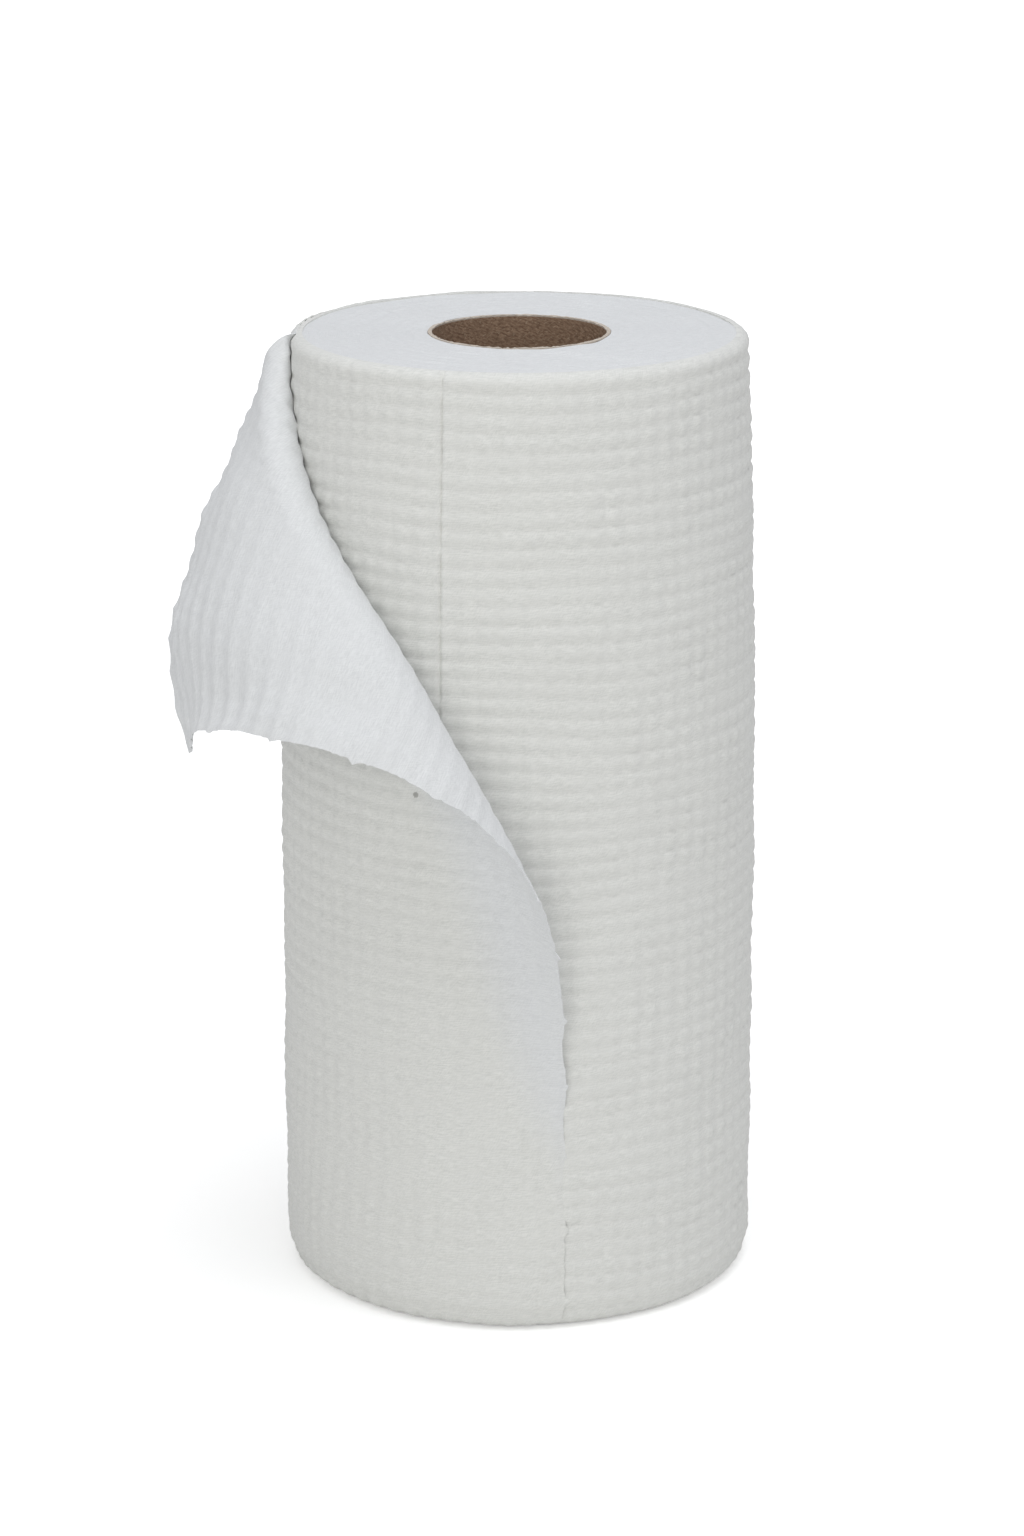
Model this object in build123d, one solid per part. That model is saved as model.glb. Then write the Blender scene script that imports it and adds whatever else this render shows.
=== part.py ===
from build123d import *
import os
from math import ceil, cos, hypot, pi, radians, sin, sqrt

# A roll of embossed cleaning cloth on a paperboard core, standing on its end.
# The core's axis is +Z, the base is at z = 0 and the cloth's free edge faces -Y.
# The cloth is one continuous web. The top corner of its outermost turn is peeled back.
# A place on the flat cloth is a run, measured sideways from the free edge and negative on the
# wound side, and a height above the base. All lengths are in millimetres, all angles in degrees.

# Roll
web_width = 240.0
roll_radius = 59.5
top_taper = 3.0
base_round_height = 9.9
base_round_depth = 4.3
top_round_height = 2.3
top_round_depth = 1.2
flat_length = 10.4

# Core
core_bore_radius = 21.5
core_wall = 1.0
core_fit = 0.1

# Cloth
cloth_thickness = 0.5
rib_pitch = 4.615
rib_depth = 0.8

# Free edge and the line along which its corner has come off the roll
edge_angle = 11.0
peel_start = 55.0
peel_run = 103.2
peel_bow = 17.3
peel_skew = 0.16
peel_angle = 10.0
least_flap = 0.4

# Curl of the loose corner, each as low, middle and high on the peel line
curl_length = (74.0, 26.3, 12.5)
curl_angle = (216.0, 132.0, 193.0)
hang_curl = (-0.87, 1.03, -0.89)

# Steps taken along the curl, and columns across the loose corner, closer together near the peel line
curl_steps = 40
flap_columns = 9
column_crowding = 1.4

# Sag of the loose corner towards its tip, and how far it bulges sideways above that
droop = 28.7
droop_reach = 79.4
tuck = 26.0
tuck_reach = 111.9
tip_droop = 1.0
tip_tuck = 16.0
tip_reach = 28.0
bulge = 3.5
bulge_reach = 130.0

# Values worked out from the sizes above
core_radius = core_bore_radius + core_wall
cloth_bore_radius = core_radius + core_fit
rib_count = round(web_width / rib_pitch)
row_count = 2 * rib_count
turn_length = 2 * pi * roll_radius
flats_per_turn = round(turn_length / flat_length)
flat_step = turn_length / flats_per_turn
peel_height = web_width - peel_start
peel_length = hypot(peel_run, peel_height)
up_peel = (-peel_run / peel_length, peel_height / peel_length)
off_peel = (up_peel[1], -up_peel[0])
slope_step = 0.5


def roll_profile(height):
    """Radius of the outermost turn, without its ribs."""
    upper_share = max(0.0, 2 * height / web_width - 1)
    radius = roll_radius - top_taper * upper_share**2
    base_share = max(0.0, 1 - height / base_round_height)
    radius -= base_round_depth * (1 - sqrt(1 - min(1.0, base_share) ** 2))
    top_share = max(0.0, 1 - (web_width - height) / top_round_height)
    return radius - top_round_depth * min(1.0, top_share) ** 2


def rib_relief(row):
    """Ribs run round the roll: even rows are the valleys between them, odd rows their crests."""
    return rib_depth / 2 if row % 2 else -rib_depth / 2


def polar(radius, angle, height):
    """A point from its angle in radians, counted from -Y towards +X."""
    return Vector(radius * sin(angle), -radius * cos(angle), height)


def wound_radius(run, height):
    """Each turn lies one cloth thickness under the next."""
    return roll_profile(height) + cloth_thickness * run / turn_length


def wound_angle(run):
    return radians(edge_angle) + run / roll_radius


def hump(share):
    """Smooth rise from 0 to 1 and back, for shares from 0 to 1."""
    share = min(1.0, max(0.0, share))
    return (4 * share * (1 - share)) ** 2


def share_of_peel(run, height):
    return (run * up_peel[0] + (height - peel_start) * up_peel[1]) / peel_length


def past_peel(run, height):
    """Distance past the bowed peel line, positive on the loose corner."""
    share = share_of_peel(run, height)
    straight = run * off_peel[0] + (height - peel_start) * off_peel[1]
    lean = 1 + peel_skew * (2 * share - 1)
    return straight - peel_bow * lean * hump(share)


def peel_run_at(height):
    """Run at which the cloth comes off the roll, or 0 where it is wound on to its free edge."""
    if height <= peel_start:
        return 0.0
    run = -(height - peel_start) * off_peel[1] / off_peel[0]
    for _ in range(30):
        run -= past_peel(run, height) / off_peel[0]
    return run if run < -least_flap else 0.0


def along_peel(values, share):
    """Quadratic through the values low, middle and high on the peel line."""
    low, middle, high = values
    ends = low * (1 - share) * (1 - 2 * share) + high * share * (2 * share - 1)
    return ends + 4 * middle * share * (1 - share)


def falloff(distance, reach):
    return max(0.0, 1 - distance / reach) ** 2


def loose_point(run, height):
    """Where a point of the cloth's mid surface has gone, past the peel line."""
    share = share_of_peel(run, height)
    loose = max(0.0, past_peel(run, height))
    foot_run = run - loose * off_peel[0]
    place = height - loose * off_peel[1]
    radius = wound_radius(foot_run, place)
    angle = wound_angle(foot_run)
    curl = along_peel(curl_length, share)
    start_turn = radians(peel_angle)
    end_turn = radians(along_peel(curl_angle, share))
    hang = radians(along_peel(hang_curl, share))
    step = loose / curl_steps
    for index in range(curl_steps):
        distance = step * (index + 0.5)
        turn = start_turn + (end_turn - start_turn) * min(1.0, distance / curl)
        turn += hang * max(0.0, distance - curl)
        rise = step * sin(turn)
        angle += step * cos(turn) * off_peel[0] / (radius + rise / 2)
        place += step * cos(turn) * off_peel[1]
        radius += rise
    to_tip = hypot(run, web_width - height)
    tip = falloff(to_tip, tip_reach)
    place -= droop * falloff(to_tip, droop_reach) + tip_droop * tip
    sideways = tuck * falloff(to_tip, tuck_reach) + tip_tuck * tip - bulge * hump(to_tip / bulge_reach)
    angle += sideways / radius
    return polar(radius, angle, place)


def loose_normal(run, height):
    """Direction of the cloth's outer face on the loose corner."""
    sideways = loose_point(run + slope_step, height) - loose_point(run - slope_step, height)
    upwards = loose_point(run, height + slope_step) - loose_point(run, height - slope_step)
    return sideways.cross(upwards).normalized()


def wound_line(start, height, relief):
    """One row of the wound turn, with each point under its place: its flats from the free edge."""
    first = -start / flat_step
    margin = least_flap / flat_step
    whole = range(ceil(first + margin), ceil(first - margin) + flats_per_turn)
    line = {}
    for place in (first, *whole, first + flats_per_turn):
        run = -place * flat_step
        line[place] = polar(wound_radius(run, height) + relief, wound_angle(run), height)
    return line


def web_row(row):
    """One row of the web: the wound turn, and the outer and inner face of what has come loose."""
    height = web_width * row / row_count
    start = peel_run_at(height)
    relief = rib_relief(row)
    wound = wound_line(start, height, relief)
    turn = list(wound.values())
    outer = [turn[0]]
    inner = [turn[-1]]
    columns = flap_columns if start < 0.0 else 0
    for index in range(1, columns + 1):
        run = start * (1 - (index / columns) ** column_crowding)
        normal = loose_normal(run, height)
        outer.append(loose_point(run, height) + normal * relief)
        inner.append(outer[-1] - normal * cloth_thickness)
    return wound, outer, inner


def ruled_faces(lines):
    """The faces between neighbouring lines of points."""
    sections = [Wire.make_polygon(points, close=False) for points in lines]
    return Shell.make_loft(sections, ruled=True).faces()


def fan_faces(point, line):
    return [Face(Wire.make_polygon([point, *pair])) for pair in zip(line, line[1:])]


def facet_faces(lines):
    """Two flat faces for each patch between neighbouring lines of points."""
    faces = []
    for lower, upper in zip(lines, lines[1:]):
        for index in range(len(lower) - 1):
            faces += fan_faces(lower[index], [lower[index + 1], upper[index + 1], upper[index]])
    return faces


def band_faces(lower, upper):
    """The faces between two rows of the wound turn: flat ones along the places that both rows have,
    and a fan at each end, because the upper row starts and stops further back along the web."""
    rows = (lower, upper)
    shared = [place for place in lower if place in upper]
    lower_head, upper_head = ([row[place] for place in row if place <= shared[0]] for row in rows)
    lower_tail, upper_tail = ([row[place] for place in row if place >= shared[-1]] for row in rows)
    faces = ruled_faces([[row[place] for place in shared] for row in rows])
    faces += fan_faces(upper_head[0], lower_head + upper_head[:0:-1])
    faces += fan_faces(lower_tail[-1], lower_tail[-2::-1] + upper_tail)
    return faces


def end_face(outline, height):
    bore = Wire([Edge.make_circle(cloth_bore_radius, Plane.XY.offset(height))])
    return Face(Wire.make_polygon(outline.values()), [bore])


def make_cloth_roll():
    wound, outer, inner = zip(*[web_row(row) for row in range(row_count + 1)])
    first_loose = min(row for row in range(row_count + 1) if len(outer[row]) > 1)
    faces = []
    for lower, upper in zip(wound, wound[1:]):
        faces += band_faces(lower, upper)
    for side in (outer, inner):
        faces += fan_faces(side[first_loose - 1][0], side[first_loose])
        faces += facet_faces(side[first_loose:])
    faces += ruled_faces([(front[-1], back[-1]) for front, back in zip(outer, inner)])
    faces += ruled_faces(list(zip(outer[-1], inner[-1])))
    faces.append(end_face(wound[0], 0.0))
    faces.append(end_face(wound[-1], web_width))
    faces.append(Face.extrude(Edge.make_circle(cloth_bore_radius), (0, 0, web_width)))
    return Solid(Shell(faces))


def make_core_tube():
    wall = Circle(core_radius) - Circle(core_bore_radius)
    return extrude(wall, web_width)


os.makedirs("parts", exist_ok=True)
export_step(make_cloth_roll(), "parts/cloth_roll.step")
export_step(make_core_tube(), "parts/core_tube.step")
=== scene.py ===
from math import pi, radians

import bpy
import numpy as np
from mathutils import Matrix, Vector


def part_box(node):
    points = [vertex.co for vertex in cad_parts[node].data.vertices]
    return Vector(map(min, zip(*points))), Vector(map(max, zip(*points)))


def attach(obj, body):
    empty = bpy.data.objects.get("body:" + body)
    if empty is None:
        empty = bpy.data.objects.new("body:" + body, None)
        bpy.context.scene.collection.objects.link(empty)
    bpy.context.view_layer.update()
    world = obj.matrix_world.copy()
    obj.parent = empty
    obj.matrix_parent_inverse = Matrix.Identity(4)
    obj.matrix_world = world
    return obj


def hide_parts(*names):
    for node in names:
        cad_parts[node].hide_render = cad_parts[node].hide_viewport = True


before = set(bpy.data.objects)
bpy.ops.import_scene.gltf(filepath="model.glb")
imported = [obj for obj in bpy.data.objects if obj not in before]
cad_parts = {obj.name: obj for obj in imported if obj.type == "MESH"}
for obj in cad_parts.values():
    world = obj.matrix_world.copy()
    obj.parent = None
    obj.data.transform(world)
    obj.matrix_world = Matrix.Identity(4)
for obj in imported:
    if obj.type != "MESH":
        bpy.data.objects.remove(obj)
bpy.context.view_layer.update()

# A standing roll of embossed cleaning cloth, with one corner of its outer turn peeled back.
# Lengths are in millimetres and angles in degrees. Meshes, the frame and the stage are in metres.
# A place on the flat cloth is a run, measured sideways from the free edge and negative on the
# wound side, and a height above the base.
millimetre = 0.001

# Sizes read from the frame
core_low, core_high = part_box("core_tube")
web_width = (core_high.z - core_low.z) / millimetre
core_radius = core_high.x / millimetre

# Roll
roll_radius = 59.5
top_taper = 3.0
base_round_height = 9.9
base_round_depth = 4.3
top_round_height = 2.3
top_round_depth = 1.2
sleeve_depth = 2.0

# Ends of the roll, where the edges of all its turns are seen
turn_pitch = 0.44
groove_depth = 0.1
groove_roundness = 0.7
end_ripple = 0.07
end_wave = 0.1
end_inset = 0.25
least_inset = 0.02
end_overlap = 0.2
end_round = 1.6
end_round_start = 2.2
end_round_past = 0.6
end_depth = 4.0

# Core. The finish of its cut rims is stretched across the thin wall
core_wall = 1.0
core_fit = 0.1
seam_pitch = 78.0
seam_depth = 0.12
wall_unevenness = 0.05
fray_depth = 0.12
least_fray = 0.03
rim_inset = 0.5
rim_stretch = 3

# Cloth
cloth_thickness = 0.5
sheet_thickness = 0.38
edge_thinning = 0.55
thin_reach = 6.0
sheet_length = 202.5
speck_place = (-37.1, 137.0)
speck_size = 0.75
speck_blur = 0.3
speck_raggedness = 0.4

# Emboss: rows and columns of pillows. The weave says how deep the valleys between columns are
rib_count = 52
column_count = 70
emboss_depth = 0.67
emboss_wander = 0.5
emboss_unevenness = 0.22
pillow_roundness = 0.8
steady_base = 8.0
wound_weave = 0.9
sheet_weave = 1.25
loose_weave = 0.4

# How the outer sheet lies: tight or slack on the roll, pressed flat at its edge, fluttering where loose
wound_tightness = 0.1
held_reach = 25.0
slack = 0.12
slack_start = 15.0
pucker_depth = 0.12
edge_press = 0.25
press_reach = 12.0
fold_relief = 0.45
loose_relief = 1.3
flutter_depth = 0.5
ruffle_depth = 0.7
ruffle_reach = 7.0
ruffle_level = 0.6

# Distances past the peel line between which each of these goes from its wound to its loose state
free_range = (-12, 4)
press_range = (0, 4)
fold_range = (0, 10)
weave_range = (4, 25)
ruffle_range = (8, 30)
flutter_range = (10, 45)
loose_range = (18, 60)

# Perforation between two sheets, and what is left of it along the torn free edge
bridge_pitch = 19.0
first_bridge = 7.5
bridge_width = 1.3
bridge_middle = 0.4
slit_width = 0.5
slit_depth = 0.6
nub_length = 0.9
nub_unevenness = 0.35
scallop_depth = 0.5
edge_fray = 0.08
edge_reach = 9.0

# Faint crease across the low part of the free edge, with the runs over which it comes and goes
crease_height = 58.5
crease_width = 1.3
crease_depth = 0.3
crease_start = (-36.0, -22.0)
crease_end = (8.0, 22.0)

# Free edge and the line along which its corner has come off the roll
edge_angle = 11.0
peel_start = 55.0
peel_run = 103.2
peel_bow = 17.3
peel_skew = 0.16
peel_angle = 10.0

# Curl of the loose corner, each as low, middle and high on the peel line
curl_length = (74.0, 26.3, 12.5)
curl_angle = (216.0, 132.0, 193.0)
hang_curl = (-0.87, 1.03, -0.89)

# Flatter curl near the top end of the peel line
pinch = 0.65
pinch_reach = 48.0

# Sag of the loose corner towards its tip, and how far it bulges sideways above that
droop = 28.7
droop_reach = 79.4
tuck = 26.0
tuck_reach = 111.9
tip_droop = 1.0
tip_tuck = 16.0
tip_reach = 28.0
bulge = 3.5
bulge_reach = 130.0
sag_start = 8.0

# Mesh steps
rows_per_rib = 6
base_rows = (0.1, 0.3)
steps_per_column = 4
slit_steps = (-1, -0.35, 0, 0.35, 1)
slit_clearance = 1.2
curl_steps = 48
rings_per_turn = 3
end_columns = 280
core_columns = 240
core_rows = 120
rim_rows = 6
sharp_angle = 55.0

# Length of flat cloth or board that is one unit of the finishes' coordinates
flat_unit = 100.0

# Stage
floor_reach = 6.0
floor_gap = 0.0003
camera_place = (-0.001778, -1.15362, 0.45861)
camera_target = (-0.001778, 0.0, 0.1282)
camera_lens = 111.577
sensor_width = 36.0

# Values worked out from the sizes above
turn_length = 2 * pi * roll_radius
peel_height = web_width - peel_start
peel_length = float(np.hypot(peel_run, peel_height))
up_peel = (-peel_run / peel_length, peel_height / peel_length)
off_peel = (up_peel[1], -up_peel[0])
cloth_bore_radius = core_radius + core_fit
second_perforation = -2 * sheet_length
column_step = turn_length / (column_count * steps_per_column)
roll_middle = (0.0, 0.0, 0.5 * web_width * millimetre)


def soft_noise(across, along, size, seed, waves=14):
    """Smooth noise of about unit height, made of waves of about the given size."""
    draw = np.random.default_rng(seed)
    total = np.zeros(np.broadcast(across, along).shape)
    for _ in range(waves):
        turn, phase = draw.uniform(0, 2 * pi, 2)
        length = size * draw.uniform(0.6, 1.7)
        total += np.sin(2 * pi * (across * np.cos(turn) + along * np.sin(turn)) / length + phase)
    return total / np.sqrt(waves / 2)


def ramp(value, start, end):
    """0 before start, 1 after end and smooth between them."""
    share = np.clip((value - start) / (end - start), 0, 1)
    return share * share * (3 - 2 * share)


def hump(share):
    """Smooth rise from 0 to 1 and back, for shares from 0 to 1."""
    share = np.clip(share, 0, 1)
    return (4 * share * (1 - share)) ** 2


def falloff(distance, reach):
    """1 at no distance, falling to 0 at the reach."""
    return np.clip(1 - distance / reach, 0, 1) ** 2


def polar(radius, angle, height):
    """Points from angles in radians, counted from -Y towards +X."""
    return np.stack([radius * np.sin(angle), -radius * np.cos(angle), height + 0 * angle], -1)


# Form of the wound cloth
def roll_profile(height):
    """Radius of the outermost turn, without its emboss."""
    upper_share = np.clip(2 * height / web_width - 1, 0, 1)
    base_share = np.clip(1 - height / base_round_height, 0, 1)
    top_share = np.clip(1 - (web_width - height) / top_round_height, 0, 1)
    radius = roll_radius - top_taper * upper_share**2
    radius = radius - base_round_depth * (1 - np.sqrt(1 - base_share**2))
    return radius - top_round_depth * top_share**2


def wound_radius(run, height):
    """Each turn lies one cloth thickness under the next."""
    return roll_profile(height) + cloth_thickness * run / turn_length


def wound_angle(run):
    return radians(edge_angle) + run / roll_radius


def columns_at(run, height):
    """1 on the crest of each column of pillows and 0 between two columns."""
    drift = emboss_wander * soft_noise(run, height, size=60.0, seed=12)
    return np.abs(np.sin(column_count / 2 * wound_angle(run + drift))) ** pillow_roundness


def crease(run, height):
    """Depth of the faint crease."""
    depth = crease_depth * np.clip(1 - np.abs(height - crease_height) / crease_width, 0, 1)
    return depth * ramp(run, *crease_start) * (1 - ramp(run, *crease_end))


def emboss(run, height, weave):
    """Rounded pillows in rows and columns, with narrow valleys between them. Where the weave is 0, the
    pillows of a row run together into one rib."""
    wander = emboss_wander * soft_noise(run, height, size=70.0, seed=11) * ramp(height, 0, steady_base)
    rows = np.abs(np.sin(pi * rib_count * (height + wander) / web_width)) ** pillow_roundness
    columns = columns_at(run, height)
    swell = 1 + emboss_unevenness * soft_noise(run, height, size=17.0, seed=13)
    pillows = emboss_depth * swell * (rows * (1 - weave + weave * columns) - 0.5)
    puckers = pucker_depth * soft_noise(run, height, size=34.0, seed=14)
    return pillows + puckers - crease(run, height)


def to_bridge(height):
    """Distance to the nearest bridge of the perforation."""
    return np.abs((height - first_bridge + bridge_pitch / 2) % bridge_pitch - bridge_pitch / 2)


def slit(run, height, line):
    """Depth of the cut along a perforation, 0 at its bridges."""
    across = np.clip(1 - np.abs(run - line) / slit_width, 0, 1)
    return slit_depth * across * ramp(to_bridge(height), bridge_middle, bridge_width)


# Form of the outer sheet
def share_of_peel(run, height):
    return (run * up_peel[0] + (height - peel_start) * up_peel[1]) / peel_length


def past_peel(run, height):
    """Distance past the bowed peel line, positive on the loose corner."""
    share = share_of_peel(run, height)
    straight = run * off_peel[0] + (height - peel_start) * off_peel[1]
    lean = 1 + peel_skew * (2 * share - 1)
    return straight - peel_bow * lean * hump(share)


def along_peel(values, share):
    """Quadratic through the values low, middle and high on the peel line."""
    low, middle, high = values
    ends = low * (1 - share) * (1 - 2 * share) + high * share * (2 * share - 1)
    return ends + 4 * middle * share * (1 - share)


def sheet_points(run, height):
    """Where points of the outer sheet's face lie, on the roll or on the loose corner, without emboss."""
    share = share_of_peel(run, height)
    loose = np.maximum(past_peel(run, height), 0) * (height > peel_start)
    foot_run = run - loose * off_peel[0]
    place = height - loose * off_peel[1]
    radius = wound_radius(foot_run, place)
    angle = wound_angle(foot_run)
    curl = along_peel(curl_length, share)
    start_turn = radians(peel_angle)
    end_turn = np.radians(along_peel(curl_angle, share))
    hang = np.radians(along_peel(hang_curl, share))
    to_peel_end = np.hypot(run + peel_run, web_width - height)
    flatness = 1 - pinch * falloff(to_peel_end, pinch_reach)
    step = loose / curl_steps
    for index in range(curl_steps):
        distance = step * (index + 0.5)
        turn = start_turn + (end_turn - start_turn) * np.minimum(1, distance / curl)
        turn = turn + hang * np.maximum(0, distance - curl)
        rise = flatness * step * np.sin(turn)
        angle = angle + step * np.cos(turn) * off_peel[0] / (radius + rise / 2)
        place = place + step * np.cos(turn) * off_peel[1]
        radius = radius + rise
    to_tip = np.hypot(run, web_width - height)
    tip = falloff(to_tip, tip_reach)
    sag = ramp(loose, 0, sag_start)
    place = place - sag * (droop * falloff(to_tip, droop_reach) + tip_droop * tip)
    sideways = tuck * falloff(to_tip, tuck_reach) + tip_tuck * tip - bulge * hump(to_tip / bulge_reach)
    angle = angle + sag * sideways / radius
    return polar(radius, angle, place), loose


def torn_edge(height):
    """How far the torn edge stands out: pointed nubs at the bridges, shallow scallops between."""
    away = to_bridge(height)
    uneven = 1 + nub_unevenness * soft_noise(height, 0 * height, size=23.0, seed=21)
    nub = nub_length * np.clip(1 - away / bridge_width, 0, 1)
    scallop = scallop_depth * np.sin(pi * away / bridge_pitch) ** 2
    fray = edge_fray * soft_noise(height, 0 * height, size=2.2, seed=22)
    return uneven * (nub - scallop) + fray


def sheet_swell(run, drawn_run, height, loose):
    """How far the sheet's face stands off its smooth form. The drawn run also follows the torn edge."""
    held = ramp(-run, sheet_length, sheet_length - held_reach)
    wound_relief = 1 - wound_tightness * held
    relief = wound_relief + (fold_relief - wound_relief) * ramp(loose, *fold_range)
    relief = relief + (loose_relief - relief) * ramp(loose, *loose_range)
    weave = sheet_weave + (loose_weave - sheet_weave) * ramp(loose, *weave_range)
    lift = slack * (1 + soft_noise(run, height, size=45.0, seed=31)) * held * ramp(-run, 0, slack_start)
    flutter = flutter_depth * soft_noise(run, height, size=26.0, seed=32) * ramp(loose, *flutter_range)
    press = edge_press * (1 - ramp(-run, 0, press_reach)) * (1 - ramp(loose, *press_range))
    at_rim = ramp(height, web_width - ruffle_reach, web_width) * ramp(loose, *ruffle_range)
    ruffle = ruffle_depth * (columns_at(drawn_run, height) - ruffle_level) * at_rim
    return relief * emboss(drawn_run, height, weave) + lift + flutter + ruffle - press


# Meshes
def normals_of(points):
    """Unit normals of a grid of points, for rows that go up and columns that go to the right."""
    upwards, sideways = np.gradient(points, axis=0), np.gradient(points, axis=1)
    normal = np.cross(sideways, upwards)
    return normal / np.linalg.norm(normal, axis=-1, keepdims=True)


def numbered(points):
    """Vertex numbers of a grid of points."""
    rows, columns = points.shape[:2]
    return np.arange(rows * columns).reshape(rows, columns)


def grid_faces(index, wrap_rows=False, wrap_columns=False):
    """Quads of a grid of vertex numbers."""
    if wrap_rows:
        index = np.vstack([index, index[:1]])
    if wrap_columns:
        index = np.hstack([index, index[:, :1]])
    corners = [index[:-1, :-1], index[:-1, 1:], index[1:, 1:], index[1:, :-1]]
    return np.stack(corners, -1).reshape(-1, 4)


def ring_faces(points):
    """Quads of a grid of points that closes on itself both ways."""
    return grid_faces(numbered(points), wrap_rows=True, wrap_columns=True)


def make_piece(name, points, faces, flat, materials, node, free=0.0):
    """A shown piece of the roll: points in millimetres, the flat cloth's places for its finish, and how
    far its cloth is free of the turn under it, from 0 to 1, which the cloth finish turns into a painted
    lit-through tint."""
    mesh = bpy.data.meshes.new(name)
    mesh.from_pydata((points.reshape(-1, 3) * millimetre).tolist(), [], faces.tolist())
    corners = np.empty(len(mesh.loops), dtype=np.int32)
    mesh.loops.foreach_get("vertex_index", corners)
    layer = mesh.uv_layers.new(name="flat")
    layer.uv.foreach_set("vector", (flat.reshape(-1, 2)[corners] / flat_unit).astype(np.float32).ravel())
    shares = np.broadcast_to(free, points.shape[:-1]).astype(np.float32)
    mesh.attributes.new("free", "FLOAT", "POINT").data.foreach_set("value", shares.ravel())
    mesh.shade_smooth()
    mesh.set_sharp_from_angle(angle=radians(sharp_angle))
    for material in materials:
        mesh.materials.append(material)
    piece = bpy.data.objects.new(name, mesh)
    bpy.context.collection.objects.link(piece)
    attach(piece, "root")
    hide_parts(node)
    return piece


# Finishes
def add_node(tree, kind, **inputs):
    node = tree.nodes.new(kind)
    for name, value in inputs.items():
        node.inputs[name.replace("_", " ")].default_value = value
    return node


def drawn_noise(tree, place, angle, length, width, detail=3.0):
    """Noise drawn out along one direction, as fibres of that length and width in millimetres."""
    mapping = add_node(tree, "ShaderNodeMapping")
    mapping.vector_type = "TEXTURE"
    mapping.inputs["Rotation"].default_value = (0, 0, radians(angle))
    mapping.inputs["Scale"].default_value = (length / flat_unit, width / flat_unit, 1)
    tree.links.new(place, mapping.inputs["Vector"])
    noise = add_node(tree, "ShaderNodeTexNoise", Scale=1.0, Detail=detail, Roughness=0.6)
    noise.noise_dimensions = "2D"
    tree.links.new(mapping.outputs["Vector"], noise.inputs["Vector"])
    return noise.outputs["Fac"]


def between(tree, value, low, high, out_low, out_high):
    """The value, taken from one range to another."""
    limits = {"From_Min": low, "From_Max": high, "To_Min": out_low, "To_Max": out_high}
    node = add_node(tree, "ShaderNodeMapRange", **limits)
    tree.links.new(value, node.inputs["Value"])
    return node.outputs["Result"]


def mixed(tree, share, first, second):
    """Two colours, mixed by a share. Each is a colour or a socket."""
    node = tree.nodes.new("ShaderNodeMix")
    node.data_type = "RGBA"
    tree.links.new(share, node.inputs["Factor"])
    colour_sockets = [socket for socket in node.inputs if socket.type == "RGBA"]
    for value, socket in zip((first, second), colour_sockets):
        if isinstance(value, tuple):
            socket.default_value = (*value, 1.0)
        else:
            tree.links.new(value, socket)
    return next(socket for socket in node.outputs if socket.type == "RGBA")


def maths(tree, operation, first, second):
    """One operation on two values. Each is a number or a socket."""
    node = tree.nodes.new("ShaderNodeMath")
    node.operation = operation
    for value, socket in zip((first, second), node.inputs):
        if isinstance(value, (int, float)):
            socket.default_value = value
        else:
            tree.links.new(value, socket)
    return node.outputs["Value"]


def new_material(name):
    material = bpy.data.materials.new(name)
    material.use_nodes = True
    tree = material.node_tree
    place = add_node(tree, "ShaderNodeUVMap")
    place.uv_map = "flat"
    return material, tree, tree.nodes["Principled BSDF"], place.outputs["UV"]


def dress(tree, shader, colour, fibres, roughness, strength, depth):
    """Colour, roughness between the fibres and on them, and the fibres as a fine bump."""
    bump = add_node(tree, "ShaderNodeBump", Strength=strength, Distance=depth * millimetre)
    tree.links.new(fibres, bump.inputs["Height"])
    tree.links.new(colour, shader.inputs["Base Color"])
    tree.links.new(between(tree, fibres, 0.3, 0.7, *roughness), shader.inputs["Roughness"])
    tree.links.new(bump.outputs["Normal"], shader.inputs["Normal"])


def add_speck(tree, place, colour, raggedness):
    """A small dark speck of dirt on the cloth."""
    offset = add_node(tree, "ShaderNodeVectorMath")
    offset.operation = "DISTANCE"
    offset.inputs[1].default_value = (speck_place[0] / flat_unit, speck_place[1] / flat_unit, 0)
    tree.links.new(place, offset.inputs[0])
    uneven = maths(tree, "MULTIPLY", raggedness, speck_raggedness / flat_unit)
    away = maths(tree, "ADD", offset.outputs["Value"], uneven)
    share = between(tree, away, speck_size / flat_unit, (speck_size + speck_blur) / flat_unit, 0.6, 0.0)
    return mixed(tree, share, colour, (0.2, 0.19, 0.17))


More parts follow.
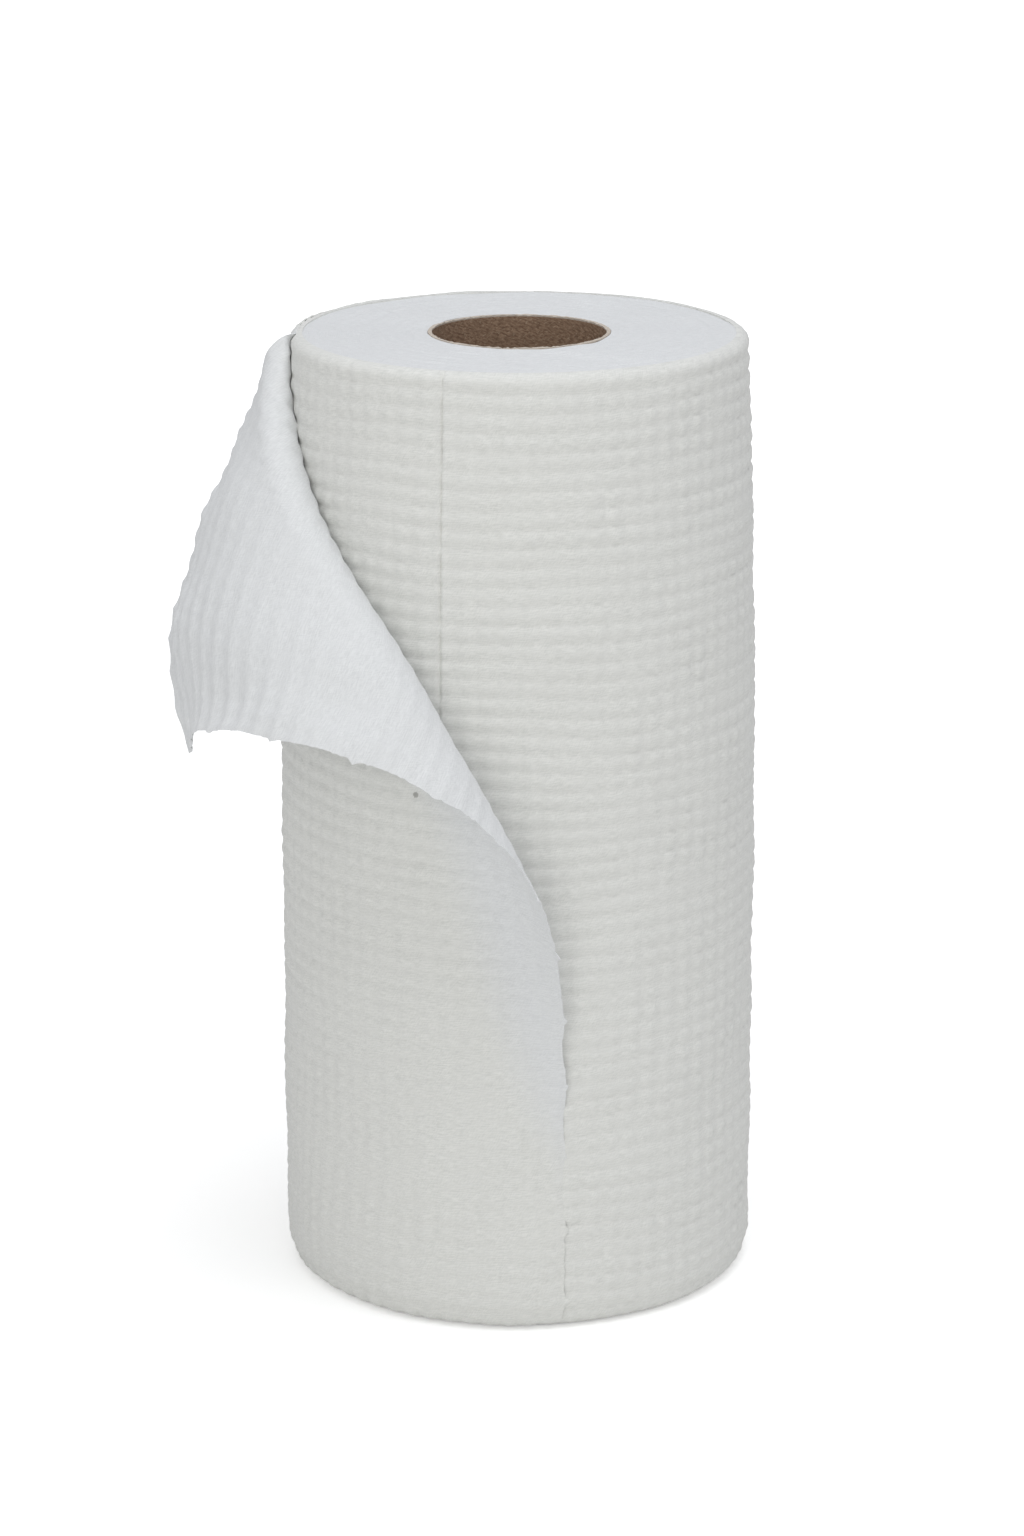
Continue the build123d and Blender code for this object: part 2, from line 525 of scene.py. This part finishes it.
def cloth_finish(name, speck=False):
    """Matt white non-woven: fine fibres laid mostly along the web, with cloudy patches. It is a little
    warmer where it lies on the turns under it; where it is free of them it is painted cooler and paler,
    as painted light shining through the loose cloth."""
    material, tree, shader, place = new_material(name)
    along = drawn_noise(tree, place, 4.0, 2.6, 0.28)
    crossed = drawn_noise(tree, place, 58.0, 1.6, 0.3)
    clouds = drawn_noise(tree, place, 0.0, 9.0, 6.0, detail=2.0)
    most_fibres = maths(tree, "MULTIPLY", along, 0.6)
    other_fibres = maths(tree, "MULTIPLY", crossed, 0.4)
    fibres = maths(tree, "ADD", most_fibres, other_fibres)
    # Painted light: the free share turns the fibre tones cooler and paler, for light shining through the
    # loose cloth
    attribute = tree.nodes.new("ShaderNodeAttribute")
    attribute.attribute_name = "free"
    free = attribute.outputs["Fac"]
    dark = mixed(tree, free, (0.685, 0.69, 0.66), (0.69, 0.70, 0.705))
    light = mixed(tree, free, (0.815, 0.815, 0.785), (0.795, 0.805, 0.81))
    middle = mixed(tree, free, (0.75, 0.75, 0.722), (0.745, 0.755, 0.76))
    colour = mixed(tree, between(tree, fibres, 0.36, 0.62, 0, 1), dark, light)
    colour = mixed(tree, between(tree, clouds, 0.35, 0.65, 0, 0.35), colour, middle)
    if speck:
        colour = add_speck(tree, place, colour, crossed)
    dress(tree, shader, colour, fibres, roughness=(0.98, 0.86), strength=0.5, depth=0.12)
    shader.inputs["Specular IOR Level"].default_value = 0.25
    shader.inputs["Sheen Weight"].default_value = 0.12
    shader.inputs["Sheen Roughness"].default_value = 0.6
    return material


def board_finish():
    """Uncoated brown kraft board with pale flecks of fibre and dark blots."""
    material, tree, shader, place = new_material("kraft_board")
    fibres = drawn_noise(tree, place, 18.0, 1.4, 0.5, detail=4.0)
    flecks = drawn_noise(tree, place, -35.0, 1.1, 0.35, detail=2.0)
    blots = drawn_noise(tree, place, 0.0, 5.0, 3.0, detail=2.0)
    dark, light = (0.21, 0.13, 0.082), (0.42, 0.285, 0.195)
    colour = mixed(tree, between(tree, fibres, 0.35, 0.65, 0, 1), dark, light)
    colour = mixed(tree, between(tree, flecks, 0.6, 0.72, 0, 0.7), colour, (0.58, 0.45, 0.33))
    colour = mixed(tree, between(tree, blots, 0.3, 0.7, 0, 0.4), colour, (0.25, 0.165, 0.11))
    dress(tree, shader, colour, fibres, roughness=(0.95, 0.8), strength=0.7, depth=0.15)
    shader.inputs["Specular IOR Level"].default_value = 0.3
    return material


def cut_board_finish():
    """Cut edge of the board: pale, with loose fibres."""
    material, tree, shader, place = new_material("cut_board")
    fibres = drawn_noise(tree, place, 0.0, 1.2, 0.25, detail=4.0)
    dark, light = (0.5, 0.42, 0.34), (0.68, 0.62, 0.55)
    colour = mixed(tree, between(tree, fibres, 0.35, 0.65, 0, 1), dark, light)
    dress(tree, shader, colour, fibres, roughness=(0.98, 0.85), strength=0.6, depth=0.1)
    return material


# Wound cloth: the last full turn under the outer sheet, as a closed sleeve
def cloth_rows():
    """Heights of the rows of points, with close steps at the base."""
    heights = np.linspace(0, web_width, rib_count * rows_per_rib + 1)
    return np.union1d(heights, base_rows)


def cloth_runs(start, end):
    """Runs of the columns of points, from start down to end."""
    return np.linspace(start, end, round((start - end) / column_step) + 1)


def close_steps(runs, line):
    """The runs, with close steps across a perforation."""
    clear = runs[np.abs(runs - line) > slit_clearance * slit_width]
    return np.sort(np.concatenate([clear, line + slit_width * np.array(slit_steps)]))


def make_wound_cloth():
    runs = close_steps(cloth_runs(-sheet_length, -sheet_length - turn_length), second_perforation)
    run, height = np.meshgrid(runs, cloth_rows())
    radius = wound_radius(run, height) + emboss(run, height, wound_weave)
    radius = radius - slit(run, height, second_perforation)
    outside = polar(radius, wound_angle(run), height)
    rim_run, rim_height = np.meshgrid(runs, [web_width, 0.0])
    inside = polar(roll_profile(rim_height) - sleeve_depth, wound_angle(rim_run), rim_height)
    points = np.concatenate([outside, inside])
    flat = np.stack([np.vstack([run, rim_run]), np.vstack([height, rim_height])], -1)
    make_piece("wound_cloth", points, ring_faces(points), flat, [cloth], "cloth_roll")


# Outer sheet: from the last perforation to the torn free edge, with the peeled corner
def make_outer_sheet():
    run, height = np.meshgrid(np.sort(cloth_runs(0.0, -sheet_length)), cloth_rows())
    drawn_run = run + ramp(run, -edge_reach, 0.0) * torn_edge(height)
    face, loose = sheet_points(drawn_run, height)
    normal = normals_of(face)
    swell = sheet_swell(run, drawn_run, height, loose)
    thickness = sheet_thickness * (1 - edge_thinning + edge_thinning * ramp(-run, 0, thin_reach))
    outside = face + normal * swell[..., None]
    inside = outside - normal * thickness[..., None]
    points = np.concatenate([outside, inside[:, ::-1]], axis=1)
    flat_front = np.stack([drawn_run, height], -1)
    flat = np.concatenate([flat_front, flat_front[:, ::-1]], axis=1)
    # How free the cloth is of the turn under it, which the finish uses for its painted lit-through tint
    lifted = ramp(past_peel(drawn_run, height), *free_range)
    free = np.concatenate([lifted, lifted[:, ::-1]], axis=1)
    index = numbered(points)
    front, back = np.hsplit(index, 2)
    back = back[:, ::-1]
    base_rim = grid_faces(np.stack([back[0], front[0]]))
    top_rim = grid_faces(np.stack([front[-1], back[-1]]))
    faces = np.concatenate([grid_faces(index, wrap_columns=True), base_rim, top_rim])
    return make_piece("outer_sheet", points, faces, flat, [sheet_cloth], "cloth_roll", free)


# Ends of the roll
def make_end(name, level, upwards):
    """One end of the roll as a closed ring, with a groove between each two turns of the web."""
    rim_radius = float(roll_profile(np.array(level))) + end_overlap
    turns = (rim_radius - cloth_bore_radius) / turn_pitch
    radii = np.linspace(cloth_bore_radius, rim_radius, round(turns * rings_per_turn) + 1)
    angles = np.linspace(0, 2 * pi, end_columns, endpoint=False)
    angle, radius = np.meshgrid(angles, radii)
    turn = radius / turn_pitch - angle / (2 * pi)
    groove = groove_depth * (1 - np.abs(np.sin(pi * turn)) ** groove_roundness)
    ripple = end_ripple * soft_noise(radius, 8 * angle, size=3.5, seed=41)
    wave = end_wave * soft_noise(radius * np.sin(angle), radius * np.cos(angle), size=30.0, seed=42)
    rounding = ramp(radius, rim_radius - end_round_start, rim_radius + end_round_past) ** 2
    depth = np.maximum(end_inset + groove + ripple + wave + end_round * rounding, least_inset)
    inwards = -1 if upwards else 1
    surface = polar(radius, angle, level + inwards * depth)
    under_angle, under_radius = np.meshgrid(angles, radii[[-1, 0]])
    under = polar(under_radius, under_angle, level + inwards * end_depth)
    points = np.concatenate([surface, under])
    faces = ring_faces(points)
    if upwards:
        faces = faces[:, ::-1]
    # The ends get the full tint of free cloth: painted cooler, paler light, as on the loose corner
    make_piece(name, points, faces, points[..., :2], [cloth], "cloth_roll", 1.0)


# Core tube of paperboard
def make_core():
    """The paperboard tube: two frayed cut ends and a wall with the seam of its spiral ply."""
    bore_radius = core_radius - core_wall
    levels = np.linspace(web_width - rim_inset, rim_inset, core_rows)
    rim_radii = np.linspace(core_radius, bore_radius, rim_rows)
    outline = [(core_radius, level, 0) for level in levels[::-1]]
    outline += [(radius, web_width, 1) for radius in rim_radii]
    outline += [(bore_radius, level, 0) for level in levels]
    outline += [(radius, 0.0, 1) for radius in rim_radii[::-1]]
    radius, level, cut = (np.array(values, dtype=float)[:, None] for values in zip(*outline))
    angle = np.linspace(0, 2 * pi, core_columns, endpoint=False) + 0 * level
    in_bore = radius < core_radius - core_wall / 2
    seam = (level / seam_pitch - angle / (2 * pi)) % 1
    ply = seam_depth * (0.5 - seam) * in_bore * (1 - cut)
    dents = wall_unevenness * np.abs(soft_noise(angle * core_radius, level, size=9.0, seed=52)) * ~in_bore
    fray = fray_depth * np.abs(soft_noise(angle * core_radius, radius, size=3.0, seed=51)) + least_fray
    inwards = np.where(level > web_width / 2, -1, 1)
    points = polar(radius + ply - dents, angle, level + cut * inwards * fray)
    flat = np.stack([angle * core_radius, level + rim_stretch * (core_radius - radius) + 0 * angle], -1)
    materials = [board, cut_board]
    piece = make_piece("core_board", points, ring_faces(points), flat, materials, "core_tube")
    row_cut = np.maximum(cut[:, 0], np.roll(cut[:, 0], -1)).astype(np.int32)
    piece.data.polygons.foreach_set("material_index", np.repeat(row_cut, core_columns))


cloth = cloth_finish("cloth")
sheet_cloth = cloth_finish("sheet_cloth", speck=True)
board = board_finish()
cut_board = cut_board_finish()
make_wound_cloth()
outer_sheet = make_outer_sheet()
make_end("top_turns", web_width, True)
make_end("base_turns", 0.0, False)
make_core()


# Floor
def make_floor():
    """A wide white floor. Seen directly it is lifted to white, and it keeps the roll's shadow."""
    corners = [(-1, -1), (1, -1), (1, 1), (-1, 1)]
    points = [(floor_reach * x, floor_reach * y, -floor_gap) for x, y in corners]
    mesh = bpy.data.meshes.new("floor")
    mesh.from_pydata(points, [], [(0, 1, 2, 3)])
    material = bpy.data.materials.new("white_floor")
    material.use_nodes = True
    tree = material.node_tree
    shader = tree.nodes["Principled BSDF"]
    shader.inputs["Base Color"].default_value = (0.95, 0.95, 0.94, 1.0)
    shader.inputs["Roughness"].default_value = 0.9
    shader.inputs["Specular IOR Level"].default_value = 0.1
    shader.inputs["Emission Color"].default_value = (1.0, 1.0, 1.0, 1.0)
    path = tree.nodes.new("ShaderNodeLightPath")
    place = tree.nodes.new("ShaderNodeNewGeometry")
    away = tree.nodes.new("ShaderNodeVectorMath")
    away.operation = "LENGTH"
    tree.links.new(place.outputs["Position"], away.inputs[0])
    lifted = between(tree, away.outputs["Value"], 0.15, 1.2, 0.36, 0.9)
    seen = maths(tree, "MAXIMUM", path.outputs["Is Camera Ray"], path.outputs["Is Glossy Ray"])
    tree.links.new(maths(tree, "MULTIPLY", seen, lifted), shader.inputs["Emission Strength"])
    mesh.materials.append(material)
    floor = bpy.data.objects.new("floor", mesh)
    bpy.context.collection.objects.link(floor)


# Light
def make_world():
    """Even light from all around. Seen directly it is white."""
    world = bpy.data.worlds.new("studio")
    bpy.context.scene.world = world
    world.use_nodes = True
    tree = world.node_tree
    background = tree.nodes["Background"]
    background.inputs["Color"].default_value = (0.965, 0.97, 1.0, 1.0)
    path = tree.nodes.new("ShaderNodeLightPath")
    seen = path.outputs["Is Camera Ray"]
    tree.links.new(between(tree, seen, 0, 1, 0.52, 1.0), background.inputs["Strength"])


def set_up(thing, place, target):
    """Puts a lamp or the camera in its place, pointed at the target."""
    thing.location = place
    thing.rotation_mode = "QUATERNION"
    thing.rotation_quaternion = (Vector(target) - Vector(place)).to_track_quat("-Z", "Y")
    bpy.context.collection.objects.link(thing)


def make_softbox(name, place, width, power, colour):
    light = bpy.data.lights.new(name, "AREA")
    light.shape = "SQUARE"
    light.size = width
    light.energy = power
    light.color = colour
    set_up(bpy.data.objects.new(name, light), place, roll_middle)


# Camera
def make_camera():
    camera = bpy.data.objects.new("camera", bpy.data.cameras.new("camera"))
    camera.data.sensor_width = sensor_width
    camera.data.lens = camera_lens
    set_up(camera, camera_place, camera_target)
    bpy.context.scene.camera = camera


make_floor()
make_world()
make_softbox("key", (-0.3, -1.42, 0.45), width=1.2, power=4.5, colour=(1.0, 0.995, 0.92))
make_softbox("top", (0.1, -0.3, 1.5), width=0.9, power=8.0, colour=(0.95, 0.97, 1.0))
make_camera()
bpy.context.scene.view_settings.view_transform = "Standard"
